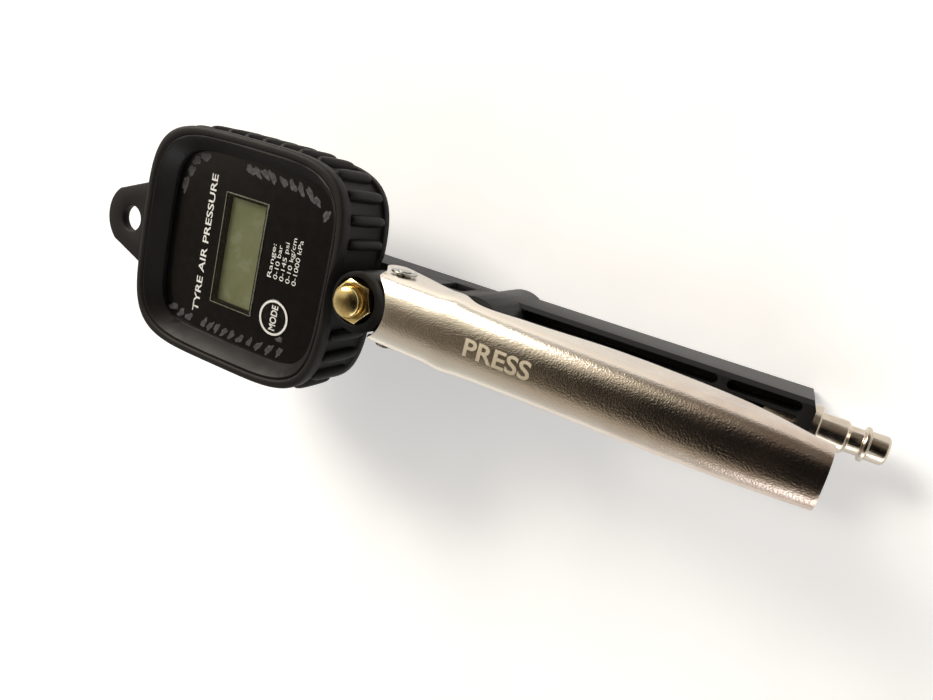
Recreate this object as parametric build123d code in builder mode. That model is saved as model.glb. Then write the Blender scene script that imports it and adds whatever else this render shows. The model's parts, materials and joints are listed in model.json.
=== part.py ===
"""Hand-held tyre inflator with a digital gauge, a squeeze lever and a bleed button.

The tool lies on the flat back of its handle.  +Z is the way the gauge faces, +X runs along
the handle towards the gauge, and Y is the direction of the lever's pivot pin.
All sizes are in millimetres.
"""
import os
from math import atan2, cos, degrees, hypot, pi, sin

from build123d import *

os.makedirs("parts", exist_ok=True)

# ---------------------------------------------------------------- driving dimensions
# Lengths along the tool, from the tip of the inlet plug to the end of the hang tab
plug_reach = 21.4          # nose tip to the collar that seats on the handle
collar_width = 3.0
grip_length = 138.9        # rear face of the handle to the lever's pivot
bleed_offset = 12.0        # pivot to the bleed valve's axis
gauge_offset = 69.4        # pivot to the centre of the gauge
hang_offset = 58.3         # centre of the gauge to the hang hole
tab_radius = 13.7          # hang hole to the end of the tab
valve_offset = 26.0        # pivot back to the inflation valve's axis

# Handle moulding
handle_width = 21.0
handle_depth = 24.8
handle_edge = 1.5
rear_bevel = 3.0
block_width = 16.4
barrel_radius = 12.2
tray_pocket_width = 3.6
tray_pocket_pitch = 4.7
tray_pocket_rows = 4
tray_pocket_depth = 7.0
tray_end_wall = 4.0
tray_rib = 3.2
rear_bay_length = 23.9
front_bay_length = 73.0
tower_height = 58.4        # top of the pivot tower
guide_height = 48.4        # top of the valve barrel, under the lever
boss_radius = 10.9
boss_height = 64.8
boss_shift = 1.6           # boss's centre behind the bleed valve's axis
boss_recess_radius = 8.5
lever_boss_gap = 1.5
side_recess_depth = 2.2    # hollows in the block's flanks
neck_height = 21.4
neck_reach = 16.0          # neck past the gauge's stem

# Pivot
pivot_height = 55.5
pin_radius = 2.5
pin_head_radius = 4.6
pin_head_height = 1.3
pin_groove_radius = 1.9
clip_radius = 4.7
clip_thickness = 0.8
clip_gap = 0.5             # ear to clip
pivot_boss_radius = 4.8

# Lever, pressed from one sheet
sheet = 1.4
lever_ear_width = 25.2
lever_bulge_width = 26.4
lever_mid_width = 23.7
lever_tail_width = 18.4
lever_tail_gap = 3.5       # lever stops this far past the handle's rear face
lever_front_height = 66.8
lever_tail_height = 77.0
lever_bow = 1.2            # how far the top bows above a straight line
lever_fold = 7.0
ear_reach = 12.5           # front of the ears, from the pivot
ear_drop = 16.5            # foot of the ears, below the pivot

# Inlet plug, the 7.2 mm coupling profile
plug_nose_radius = 4.95
plug_ring_radius = 5.975
plug_neck_radius = 4.55
plug_body_radius = 5.7
plug_bore_radius = 3.6
plug_nose_length = 5.9
plug_ring_length = 2.1
plug_neck_length = 4.0
plug_thread_radius = 6.2
plug_thread_length = 11.0
collar_radius = 7.6

# Air passage and inflation valve
tube_radius = 3.4
tube_wall = 0.8
stem_radius = 2.3
stem_play = 0.35           # lever to stem, at rest
poppet_radius = 4.6
poppet_height = 2.4
seat_radius = 6.4
seat_height = 4.0
seat_opening = 3.4
cap_radius = 7.6
cap_height = 2.9
passage_radius = 2.0

# Bleed valve
hex_across = 14.0
hex_turn = -12.0           # degrees, as tightened
nut_rim_radius = 6.05      # counterbore in the nut's top
hex_height = 5.0
nut_shank_radius = 6.9
nut_shank_length = 10.5
button_radius = 5.3
button_flat_radius = 3.6
button_stand = 4.4         # button above the nut
button_collar_radius = 5.9
button_collar_height = 2.2
bleed_travel = 2.0
bleed_pin_radius = 1.4
bleed_seal_radius = 2.8
bleed_seal_height = 2.0

# Gauge, seen from the front
lip_half_x = 48.0
lip_half_y = 44.2
lip_width = 2.9
lip_corner = 4.4           # exponent of the rounded square, larger is squarer
lip_height = 65.6
boot_back_height = 35.2
boot_wall_inset = 1.2
boot_floor = 2.4
boot_band_height = 3.2
grip_rib_width = 4.4
grip_rib_height = 2.9
grip_rib_pitch = 8.5
tab_thickness = 3.6
tab_drop = 3.4             # tab below the lip's front
tab_root_half = 18.4
dip_radius = 38.0          # hollow in the boot's side beside the bleed valve
dip_depth = 2.3
hang_radius = 5.1
case_wall = 2.2
bezel_drop = 5.6
bezel_width = 5.2
bezel_land = 0.7
bezel_corner = 5.4
recess = 1.5
deck = 2.0
film_thickness = 0.5
window_width = 21.6        # along X
window_length = 44.6       # along Y
window_offset = 2.8        # window centre towards the tab
window_stand = 0.35
mode_offset_x = -19.2
mode_offset_y = 19.1
mode_radius = 7.2
mode_travel = 0.5
split_height = 47.0        # where the two case halves meet
stem_thread_radius = 6.5
stem_bore_radius = 1.5
stem_hex = 19.0
stem_hex_height = 8.0
stem_flange_radius = 8.5

# Fits
running = 0.06             # radial gap of a part that turns or slides
seated = 0.05              # radial gap of a part that is pressed or screwed in
loose = 0.3                # gap between covers
wire = 0.45                # radius of spring wire

# ---------------------------------------------------------------- stations
overall_length = (plug_reach + collar_width + grip_length + gauge_offset
                  + hang_offset + tab_radius)
nose_tip_x = -overall_length / 2
handle_end_x = nose_tip_x + plug_reach + collar_width
pivot_x = handle_end_x + grip_length
valve_x = pivot_x - valve_offset
bleed_x = pivot_x + bleed_offset
boss_x = bleed_x - boss_shift
gauge_x = pivot_x + gauge_offset
hang_x = gauge_x + hang_offset
neck_end_x = gauge_x + neck_reach
axis_z = handle_depth / 2
half_handle = handle_width / 2
lever_tail_x = handle_end_x - lever_tail_gap
ear_half = lever_ear_width / 2
front_bay_x = handle_end_x + tray_end_wall + rear_bay_length + tray_rib
case_front_z = lip_height - 0.6
bezel_foot_z = case_front_z - bezel_drop
deck_top_z = bezel_foot_z - recess - film_thickness
film_top_z = deck_top_z + film_thickness
case_back_z = boot_back_height + boot_floor + 0.2
case_half_x = lip_half_x - lip_width - loose
case_half_y = lip_half_y - lip_width - loose
bezel_half_x = case_half_x - bezel_width
bezel_half_y = case_half_y - bezel_width
window_x = gauge_x + window_offset
mode_x = gauge_x + mode_offset_x
board_top_z = deck_top_z - deck - 4.2
board_thickness = 1.6


def rounded_square(half_x, half_y, corner, points=40):
    """Closed outline |x/a|^n + |y/b|^n = 1 about the gauge's centre."""
    outline = []
    for step in range(points):
        turn = 2 * pi * (step + 0.5) / points
        along = abs(cos(turn)) ** (2 / corner) * (1 if cos(turn) > 0 else -1)
        across = abs(sin(turn)) ** (2 / corner) * (1 if sin(turn) > 0 else -1)
        outline.append((gauge_x + half_x * along, half_y * across))
    return Spline(*outline, periodic=True)


def square_plate(half_x, half_y, corner, low, high):
    """Upright wall or plate with the gauge's rounded-square outline."""
    with BuildSketch(Plane.XY.offset(low)) as plate:
        with BuildLine():
            rounded_square(half_x, half_y, corner)
        make_face()
    return extrude(plate.sketch, amount=high - low, mode=Mode.PRIVATE)


def finish(piece, name):
    """Label a finished part and write it."""
    piece.part.label = name
    export_step(piece.part, f"parts/{name}.step")


# ---------------------------------------------------------------- lever outlines
def lever_top(x):
    """Height of the lever's top along its length: a straight rise with a slight bow."""
    share = (pivot_x - x) / (pivot_x - lever_tail_x)
    rise = lever_front_height + (lever_tail_height - lever_front_height) * share
    return rise + 4 * lever_bow * share * (1 - share)


lever_nose_x = boss_x - boss_radius + 5.7
valve_notch_z = lever_top(valve_x) - 7.0


def lever_half_width(drop):
    """Half of the lever's plan, from the tail to the nose, brought in by the sheet."""
    return [
        (lever_tail_x, lever_tail_width / 2 - drop),
        (lever_tail_x + 18, lever_tail_width / 2 + 1.1 - drop),
        (lever_tail_x + 48, lever_mid_width / 2 - 0.8 - drop),
        (valve_x - 22, lever_mid_width / 2 + 0.1 - drop),
        (valve_x - 6, lever_ear_width / 2 - drop),
        (valve_x, lever_bulge_width / 2 - drop),
        (valve_x + 7, lever_ear_width / 2 - drop),
        (valve_x + 14, lever_ear_width / 2 - drop),
        (pivot_x - 6, lever_ear_width / 2 - drop),
        (pivot_x + 3, lever_ear_width / 2 - drop),
        (lever_nose_x + 14, lever_ear_width / 2 - drop),
    ]


def lever_block(drop):
    """Solid of the lever's outside, or of its inside when brought in by the sheet."""
    upper = lever_half_width(drop)
    lower = [(x, -y) for x, y in reversed(upper)]
    with BuildPart() as block:
        with BuildSketch(Plane.XY.offset(10)):
            with BuildLine():
                Spline(*upper)
                Line(upper[-1], lower[0])
                Spline(*lower)
                Line(lower[-1], upper[0])
            make_face()
        extrude(amount=90)
        top_line = [(x, lever_top(x) - drop) for x in
                    (lever_tail_x - 1, valve_x - 60, valve_x - 20, lever_nose_x + 15)]
        with BuildSketch(Plane.XZ):
            with BuildLine():
                Spline(*top_line)
                Polyline(top_line[-1], (lever_nose_x + 15, 5), (lever_tail_x - 1, 5), top_line[0])
            make_face()
        extrude(amount=40, both=True, mode=Mode.INTERSECT)
        crest = block.faces().sort_by(Axis.Z)[-1]
        long_edges = crest.edges().filter_by(lambda e: e.length > 60)
        fillet(long_edges, lever_fold - drop)
    return block.part


# ---------------------------------------------------------------- handle moulding
with BuildPart() as handle_body:
    # Rear bar, with bevelled rear corners and broken long edges
    bar_length = valve_x - handle_end_x
    with BuildSketch():
        with BuildLine():
            Polyline(
                (handle_end_x, half_handle - rear_bevel), (handle_end_x + rear_bevel / 2, half_handle),
                (valve_x, half_handle), (valve_x, -half_handle),
                (handle_end_x + rear_bevel / 2, -half_handle),
                (handle_end_x, -half_handle + rear_bevel), close=True)
        make_face()
    extrude(amount=handle_depth)
    chamfer(handle_body.edges().filter_by(Axis.X), handle_edge)
    # Valve barrel, block and neck
    with BuildSketch():
        with Locations((valve_x, 0)):
            Circle(barrel_radius)
    extrude(amount=guide_height)
    with BuildSketch(Plane.XZ):
        with BuildLine():
            Polyline(
                (valve_x, 0), (neck_end_x, 0), (neck_end_x, neck_height),
                (bleed_x + boss_radius - 3.4, neck_height),
                (bleed_x + boss_radius - 3.4, tower_height - 9),
                (pivot_x - 5, tower_height - 5), (pivot_x - 12, guide_height),
                (valve_x, guide_height), close=True)
        make_face()
    extrude(amount=block_width / 2, both=True)
    # Boss that carries the bleed valve
    with BuildSketch(Plane.XY.offset(tower_height - 12)):
        with Locations((boss_x, 0)):
            Circle(block_width / 2 + 0.4)
    with BuildSketch(Plane.XY.offset(tower_height - 8)):
        with Locations((boss_x, 0)):
            Circle(boss_radius)
    loft()
    with BuildSketch(Plane.XY.offset(tower_height - 8)):
        with Locations((boss_x, 0)):
            Circle(boss_radius)
    extrude(amount=boss_height - tower_height + 8)
    # Shallow hollows in the block's flanks, between the barrel and the tower
    for side in (-1, 1):
        with BuildSketch(Plane.XZ.offset(-side * block_width / 2)):
            with Locations((valve_x + 21.0, axis_z + 7.5)):
                RectangleRounded(10.0, 15.0, 1.5)
        extrude(amount=side * side_recess_depth, mode=Mode.SUBTRACT)
    # Round bosses that space the lever's ears off the block
    with BuildSketch(Plane.XZ):
        with Locations((pivot_x, pivot_height)):
            Circle(pivot_boss_radius)
    extrude(amount=ear_half - sheet - loose, both=True)
    # Tray pockets in the face under the lever
    for row in range(tray_pocket_rows):
        row_y = (row - (tray_pocket_rows - 1) / 2) * tray_pocket_pitch
        for bay_x, bay_length in (
                (handle_end_x + tray_end_wall, rear_bay_length), (front_bay_x, front_bay_length)):
            with BuildSketch(Plane.XY.offset(handle_depth)):
                with Locations((bay_x + bay_length / 2, row_y)):
                    SlotOverall(bay_length, tray_pocket_width)
            extrude(amount=-tray_pocket_depth, mode=Mode.SUBTRACT)
    # Inlet bore, then the seat for the air tube
    with BuildSketch(Plane.YZ.offset(handle_end_x)):
        with Locations((0, axis_z)):
            Circle(plug_thread_radius + 1.8)
    extrude(amount=plug_thread_length + 4, mode=Mode.SUBTRACT)
    with BuildSketch(Plane.YZ.offset(handle_end_x)):
        with Locations((0, axis_z)):
            Circle(tube_radius + seated)
    extrude(amount=bar_length, mode=Mode.SUBTRACT)
    # Inflation valve: chamber from the back, seat, gallery and guide
    seat_top_z = axis_z + 8.4
    with Locations(Location((valve_x, 0, 0), (180, 0, 0))):
        CounterBoreHole(seat_radius + seated, cap_radius + seated, cap_height, depth=seat_top_z)
    with BuildSketch(Plane.XY.offset(seat_top_z - 0.1)):
        with Locations((valve_x, 0)):
            Circle(seat_opening)
    extrude(amount=5, mode=Mode.SUBTRACT)
    with BuildSketch():
        with Locations((valve_x, 0)):
            Circle(stem_radius + running)
    extrude(amount=guide_height + 1, mode=Mode.SUBTRACT)
    # Galleries: valve to bleed, bleed down to the outlet, outlet to the gauge
    with BuildSketch(Plane.YZ.offset(valve_x)):
        with Locations((0, seat_top_z + 2.4)):
            Circle(passage_radius)
    extrude(amount=bleed_x - valve_x, mode=Mode.SUBTRACT)
    with BuildSketch(Plane.XY.offset(axis_z - 1)):
        with Locations((bleed_x, 0)):
            Circle(passage_radius)
    extrude(amount=boss_height, mode=Mode.SUBTRACT)
    with BuildSketch(Plane.YZ.offset(bleed_x)):
        with Locations((0, axis_z - 1)):
            Circle(passage_radius)
    extrude(amount=neck_end_x - bleed_x, mode=Mode.SUBTRACT)
    with BuildSketch(Plane.YZ.offset(neck_end_x)):
        with Locations((0, axis_z - 1)):
            Circle(6.6)
    extrude(amount=-9, mode=Mode.SUBTRACT)
    # Threaded seat for the gauge's stem
    with BuildSketch(Plane.XY.offset(neck_height)):
        with Locations((gauge_x, 0)):
            Circle(stem_thread_radius + seated)
    extrude(amount=-7, mode=Mode.SUBTRACT)
    with BuildSketch(Plane.XY.offset(neck_height)):
        with Locations((gauge_x, 0)):
            Circle(stem_bore_radius)
    extrude(amount=-9, mode=Mode.SUBTRACT)
    # Bleed valve: recess for the hexagon, thread, spring chamber and seal chamber
    recess_z = boss_height - 3.4
    with BuildSketch(Plane.XY.offset(boss_height)):
        with Locations((bleed_x, 0)):
            Circle(boss_recess_radius)
    extrude(amount=-3.4, mode=Mode.SUBTRACT)
    with BuildSketch(Plane.XY.offset(recess_z)):
        with Locations((bleed_x, 0)):
            Circle(nut_shank_radius + seated)
    extrude(amount=-nut_shank_length, mode=Mode.SUBTRACT)
    seal_room_z = recess_z - nut_shank_length - 1.6
    with BuildSketch(Plane.XY.offset(seal_room_z)):
        with Locations((bleed_x, 0)):
            Circle(bleed_seal_radius + 0.5)
    extrude(amount=-bleed_seal_height - bleed_travel - 2.5, mode=Mode.SUBTRACT)
    # Bore for the pivot pin
    with BuildSketch(Plane.XZ):
        with Locations((pivot_x, pivot_height)):
            Circle(pin_radius + seated)
    extrude(amount=20, both=True, mode=Mode.SUBTRACT)
finish(handle_body, "handle_body")

# ---------------------------------------------------------------- inlet
with BuildPart() as inlet_bush:
    # Plated brass bush in the end of the handle; its collar shows behind the plug
    with BuildSketch(Plane.YZ.offset(handle_end_x - collar_width)):
        with Locations((0, axis_z)):
            Circle(collar_radius)
    extrude(amount=collar_width)
    with BuildSketch(Plane.YZ.offset(handle_end_x)):
        with Locations((0, axis_z)):
            Circle(plug_thread_radius + 1.8 - seated)
    extrude(amount=plug_thread_length + 3.8)
    chamfer(inlet_bush.edges().filter_by(GeomType.CIRCLE).group_by(Axis.X)[0], 0.4)
    with BuildSketch(Plane.YZ.offset(handle_end_x - collar_width)):
        with Locations((0, axis_z)):
            Circle(plug_thread_radius + seated)
    extrude(amount=collar_width + plug_thread_length, mode=Mode.SUBTRACT)
    with BuildSketch(Plane.YZ.offset(handle_end_x)):
        with Locations((0, axis_z)):
            Circle(tube_radius + seated)
    extrude(amount=plug_thread_length + 4, mode=Mode.SUBTRACT)
finish(inlet_bush, "inlet_bush")

with BuildPart() as inlet_plug:
    # Turned profile of the quick-coupling plug, along its own axis
    plug_end_x = nose_tip_x + plug_reach
    ring_x = nose_tip_x + plug_nose_length
    neck_x = ring_x + plug_ring_length
    body_x = neck_x + plug_neck_length
    with BuildSketch(Plane.XZ):
        with BuildLine():
            Polyline(
                (nose_tip_x, axis_z), (nose_tip_x, axis_z + plug_nose_radius - 0.8),
                (nose_tip_x + 0.8, axis_z + plug_nose_radius), (ring_x, axis_z + plug_nose_radius),
                (ring_x + 0.4, axis_z + plug_ring_radius), (neck_x - 0.4, axis_z + plug_ring_radius),
                (neck_x, axis_z + plug_neck_radius), (body_x, axis_z + plug_neck_radius),
                (body_x + 1.1, axis_z + plug_body_radius), (plug_end_x, axis_z + plug_body_radius),
                (plug_end_x, axis_z + plug_thread_radius),
                (plug_end_x + plug_thread_length, axis_z + plug_thread_radius),
                (plug_end_x + plug_thread_length, axis_z), close=True)
        make_face()
    revolve(axis=Axis((0, 0, axis_z), (1, 0, 0)))
    with BuildSketch(Plane.YZ.offset(nose_tip_x)):
        with Locations((0, axis_z)):
            Circle(plug_bore_radius)
    extrude(amount=plug_reach + plug_thread_length, mode=Mode.SUBTRACT)
finish(inlet_plug, "inlet_plug")

with BuildPart() as inlet_filter:
    # Sintered disc between the plug and the air tube
    with BuildSketch(Plane.YZ.offset(plug_end_x + plug_thread_length + 0.1)):
        with Locations((0, axis_z)):
            Circle(plug_thread_radius - 0.2)
    extrude(amount=collar_width - 0.3)
finish(inlet_filter, "inlet_filter")

with BuildPart() as air_tube:
    tube_start_x = handle_end_x + plug_thread_length + 0.2
    with BuildSketch(Plane.YZ.offset(tube_start_x)):
        with Locations((0, axis_z)):
            Circle(tube_radius)
            Circle(tube_radius - tube_wall, mode=Mode.SUBTRACT)
    extrude(amount=valve_x - seat_radius - 1 - tube_start_x)
finish(air_tube, "air_tube")

# ---------------------------------------------------------------- inflation valve
seat_low_z = seat_top_z - seat_height
with BuildPart() as valve_seat:
    with BuildSketch(Plane.XY.offset(seat_low_z)):
        with Locations((valve_x, 0)):
            Circle(seat_radius)
            Circle(seat_opening, mode=Mode.SUBTRACT)
    extrude(amount=seat_height - 0.1)
    chamfer(valve_seat.edges().filter_by(GeomType.CIRCLE).group_by(Axis.Z)[0], 0.4)
finish(valve_seat, "valve_seat")

stem_top_z = lever_top(valve_x) - sheet - stem_play
poppet_top_z = seat_low_z - 1.0
with BuildPart() as valve_stem:
    with BuildSketch(Plane.XY.offset(poppet_top_z - poppet_height)):
        with Locations((valve_x, 0)):
            Circle(poppet_radius)
    extrude(amount=poppet_height)
    with BuildSketch(Plane.XY.offset(poppet_top_z)):
        with Locations((valve_x, 0)):
            Circle(stem_radius)
    extrude(amount=stem_top_z - poppet_top_z)
    fillet(valve_stem.edges().filter_by(GeomType.CIRCLE).group_by(Axis.Z)[-1], stem_radius - 0.1)
finish(valve_stem, "valve_stem")

with BuildPart() as valve_seal:
    # Rubber washer on the poppet, closed against the seat
    with BuildSketch(Plane.XY.offset(poppet_top_z)):
        with Locations((valve_x, 0)):
            Circle(poppet_radius)
            Circle(stem_radius, mode=Mode.SUBTRACT)
    extrude(amount=seat_low_z - poppet_top_z - 0.02)
finish(valve_seal, "valve_seal")

with BuildPart() as valve_cap:
    # Slotted brass cap, flush with the back of the handle
    with BuildSketch(Plane.XY):
        with Locations((valve_x, 0)):
            Circle(cap_radius)
    extrude(amount=cap_height)
    with BuildSketch(Plane.XY.offset(cap_height)):
        with Locations((valve_x, 0)):
            Circle(seat_radius - 0.1)
            Circle(poppet_radius, mode=Mode.SUBTRACT)
    extrude(amount=2.0)
    with BuildSketch(Plane.XY):
        with Locations((valve_x, 0)):
            Rectangle(2 * cap_radius, 1.6)
    extrude(amount=1.2, mode=Mode.SUBTRACT)
finish(valve_cap, "valve_cap")


def coil(centre_x, low, high, coil_radius, turns):
    """Spring of round wire between two heights."""
    path = Helix(pitch=(high - low - 2 * wire) / turns, height=high - low - 2 * wire,
                 radius=coil_radius, center=(centre_x, 0, low + wire))
    with BuildPart() as spring:
        with BuildSketch(Plane(origin=path @ 0, z_dir=path % 0)):
            Circle(wire)
        sweep(path=path, is_frenet=True)
    return spring


valve_spring = coil(valve_x, cap_height + 0.05, poppet_top_z - poppet_height - 0.05,
                    poppet_radius - 1.0, 5)
finish(valve_spring, "valve_spring")

# ---------------------------------------------------------------- bleed valve
nut_low_z = recess_z - nut_shank_length
nut_top_z = recess_z + hex_height
button_step_z = nut_low_z + 8.2
with BuildPart() as bleed_nut:
    with BuildSketch(Plane.XY.offset(nut_low_z + 0.1)):
        with Locations((bleed_x, 0)):
            Circle(nut_shank_radius)
    extrude(amount=nut_shank_length - 0.1)
    with BuildSketch(Plane.XY.offset(recess_z)):
        with Locations((bleed_x, 0)):
            RegularPolygon(hex_across / 2, 6, major_radius=False, rotation=hex_turn)
    extrude(amount=hex_height)
    # Turned chamfer on the hexagon's corners
    with BuildSketch(Plane.XZ):
        with BuildLine():
            corner_radius = hex_across / 2 / cos(pi / 6)
            Polyline(
                (bleed_x + hex_across / 2 - 0.2, nut_top_z + 0.1),
                (bleed_x + corner_radius + 0.4, nut_top_z + 0.1),
                (bleed_x + corner_radius + 0.4, nut_top_z - 0.9), close=True)
        make_face()
    revolve(axis=Axis((bleed_x, 0, 0), (0, 0, 1)), mode=Mode.SUBTRACT)
    with BuildSketch(Plane.XY.offset(nut_low_z)):
        with Locations((bleed_x, 0)):
            Circle(button_radius + running)
    extrude(amount=30, mode=Mode.SUBTRACT)
    with BuildSketch(Plane.XY.offset(nut_low_z)):
        with Locations((bleed_x, 0)):
            Circle(button_collar_radius + running)
    extrude(amount=button_step_z - nut_low_z, mode=Mode.SUBTRACT)
    with BuildSketch(Plane.XY.offset(nut_top_z)):
        with Locations((bleed_x, 0)):
            Circle(nut_rim_radius)
    extrude(amount=-1.0, mode=Mode.SUBTRACT)
finish(bleed_nut, "bleed_nut")

seal_top_z = seal_room_z - 0.05
with BuildPart() as bleed_button:
    with BuildSketch(Plane.XY.offset(button_step_z - button_collar_height)):
        with Locations((bleed_x, 0)):
            Circle(button_collar_radius)
    extrude(amount=button_collar_height - 0.05)
    with BuildSketch(Plane.XY.offset(button_step_z - 0.1)):
        with Locations((bleed_x, 0)):
            Circle(button_radius)
    extrude(amount=nut_top_z + button_stand - button_step_z + 0.1)
    top_rim = bleed_button.edges().filter_by(GeomType.CIRCLE).group_by(Axis.Z)[-1]
    top_face = bleed_button.faces().sort_by(Axis.Z)[-1]
    chamfer(top_rim, button_radius - button_flat_radius, 0.8, reference=top_face)
    with BuildSketch(Plane.XY.offset(seal_top_z - bleed_seal_height)):
        with Locations((bleed_x, 0)):
            Circle(bleed_pin_radius)
    extrude(amount=button_step_z - seal_top_z)
finish(bleed_button, "bleed_button")

with BuildPart() as bleed_seal:
    with BuildSketch(Plane.XY.offset(seal_top_z - bleed_seal_height)):
        with Locations((bleed_x, 0)):
            Circle(bleed_seal_radius)
            Circle(bleed_pin_radius, mode=Mode.SUBTRACT)
    extrude(amount=bleed_seal_height)
finish(bleed_seal, "bleed_seal")

bleed_spring = coil(bleed_x, nut_low_z + 0.05, button_step_z - button_collar_height - 0.05, 3.6, 4)
finish(bleed_spring, "bleed_spring")

# ---------------------------------------------------------------- pivot
clip_y = ear_half + clip_gap
pin_end_y = clip_y + clip_thickness + 0.3
with BuildPart() as pivot_pin:
    # Shank from the clip's end to the head, on the lever's two ears
    with BuildSketch(Plane.XZ.offset(pin_end_y)):
        with Locations((pivot_x, pivot_height)):
            Circle(pin_radius)
    extrude(amount=-pin_end_y - ear_half - running)
    with BuildSketch(Plane.XZ.offset(-ear_half - running)):
        with Locations((pivot_x, pivot_height)):
            Circle(pin_head_radius)
    extrude(amount=-pin_head_height)
    head_rim = pivot_pin.edges().filter_by(GeomType.CIRCLE).group_by(Axis.Y)[-1]
    fillet(head_rim, 0.6)
    # Groove for the clip
    with BuildSketch(Plane.XZ.offset(clip_y)):
        with Locations((pivot_x, pivot_height)):
            Circle(pin_radius + 1)
            Circle(pin_groove_radius, mode=Mode.SUBTRACT)
    extrude(amount=clip_thickness, mode=Mode.SUBTRACT)
finish(pivot_pin, "pivot_pin")

with BuildPart() as pivot_clip:
    # E-clip, open downwards
    with BuildSketch(Plane.XZ.offset(clip_y + 0.05)):
        with Locations((pivot_x, pivot_height)):
            Circle(clip_radius)
            Circle(pin_groove_radius + seated, mode=Mode.SUBTRACT)
        with Locations((pivot_x, pivot_height - clip_radius / 2 - 0.5)):
            Rectangle(2 * pin_groove_radius - 0.6, clip_radius + 1, mode=Mode.SUBTRACT)
    extrude(amount=clip_thickness - 0.1)
finish(pivot_clip, "pivot_clip")

# ---------------------------------------------------------------- lever
with BuildPart() as lever:
    add(lever_block(0))
    add(lever_block(sheet), mode=Mode.SUBTRACT)
    # Side outline: deep ears at the pivot, a neck past the valve, walls that run out at the tail
    with BuildSketch(Plane.XZ) as side:
        with BuildLine():
            rim = Spline(
                (lever_tail_x - 0.5, lever_top(lever_tail_x) - 5.8),
                (lever_tail_x + 16, lever_top(lever_tail_x + 16) - 14.1),
                (lever_tail_x + 46, lever_top(lever_tail_x + 46) - 19.8),
                (lever_tail_x + 66, lever_top(lever_tail_x + 66) - 19.4),
                (valve_x - 24, lever_top(valve_x - 24) - 12.4),
                (valve_x - 5, lever_top(valve_x - 5) - 8.8),
                (valve_x + 1.5, valve_notch_z - 6.4),
                (valve_x + 11, valve_notch_z - 11.0),
                (pivot_x + 2, pivot_height - ear_drop + 3.0),
                (pivot_x + ear_reach - 4.5, pivot_height - ear_drop))
            foot = ThreePointArc(
                rim @ 1, (pivot_x + ear_reach - 0.6, pivot_height - ear_drop + 2.2),
                (pivot_x + ear_reach, pivot_height - ear_drop + 6))
            Polyline(
                foot @ 1, (lever_nose_x + 3.4, pivot_height + 3),
                (lever_nose_x, lever_front_height),
                (lever_nose_x, lever_front_height + 8),
                (lever_tail_x - 0.5, lever_tail_height + 8), rim @ 0)
        make_face()
    extrude(amount=40, both=True, mode=Mode.INTERSECT)
    # Half-round cut-out that clears the bleed valve's boss
    with BuildSketch(Plane.XY.offset(lever_front_height - lever_fold - 1.6)):
        with Locations((boss_x, 0)):
            Circle(boss_radius + lever_boss_gap)
    extrude(amount=20, mode=Mode.SUBTRACT)
    # Pin holes in the ears
    with BuildSketch(Plane.XZ):
        with Locations((pivot_x, pivot_height)):
            Circle(pin_radius + running)
    extrude(amount=30, both=True, mode=Mode.SUBTRACT)
finish(lever, "lever")

# ---------------------------------------------------------------- hose outlet and gauge stem
with BuildPart() as outlet_bush:
    # Brass bush with the thread that takes the hose
    outlet_z = axis_z - 1
    with BuildSketch(Plane.YZ.offset(neck_end_x - 8.8)):
        with Locations((0, outlet_z)):
            Circle(6.6 - seated)
    extrude(amount=8.8)
    with BuildSketch(Plane.YZ.offset(neck_end_x)):
        with Locations((0, outlet_z)):
            RegularPolygon(8.5, 6, major_radius=False)
    extrude(amount=11)
    with BuildSketch(Plane.YZ.offset(neck_end_x + 11)):
        with Locations((0, outlet_z)):
            Circle(5.72)
    extrude(amount=-12, mode=Mode.SUBTRACT)
    with BuildSketch(Plane.YZ.offset(neck_end_x)):
        with Locations((0, outlet_z)):
            Circle(passage_radius)
    extrude(amount=-9, mode=Mode.SUBTRACT)
finish(outlet_bush, "outlet_bush")

stem_hex_top_z = neck_height + 1.2 + stem_hex_height
with BuildPart() as gauge_stem:
    with BuildSketch(Plane.XY.offset(neck_height - 6.8)):
        with Locations((gauge_x, 0)):
            Circle(stem_thread_radius)
    extrude(amount=case_back_z + 7 - neck_height + 6.8)
    with BuildSketch(Plane.XY.offset(neck_height + 1.2)):
        with Locations((gauge_x, 0)):
            RegularPolygon(stem_hex / 2, 6, major_radius=False)
    extrude(amount=stem_hex_height)
    with BuildSketch(Plane.XY.offset(case_back_z + 2.6)):
        with Locations((gauge_x, 0)):
            Circle(stem_flange_radius)
    extrude(amount=2.0)
    with BuildSketch(Plane.XY):
        with Locations((gauge_x, 0)):
            Circle(stem_bore_radius)
    extrude(amount=80, mode=Mode.SUBTRACT)
finish(gauge_stem, "gauge_stem")

with BuildPart() as stem_washer:
    with BuildSketch(Plane.XY.offset(neck_height)):
        with Locations((gauge_x, 0)):
            Circle(block_width / 2 - 0.4)
            Circle(stem_thread_radius + 0.1, mode=Mode.SUBTRACT)
    extrude(amount=1.2)
finish(stem_washer, "stem_washer")

# ---------------------------------------------------------------- gauge case
screw_spots = [(gauge_x + sx * (case_half_x - 11.0), sy * (case_half_y - 10.0))
               for sx in (-1, 1) for sy in (-1, 1)]

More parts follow.
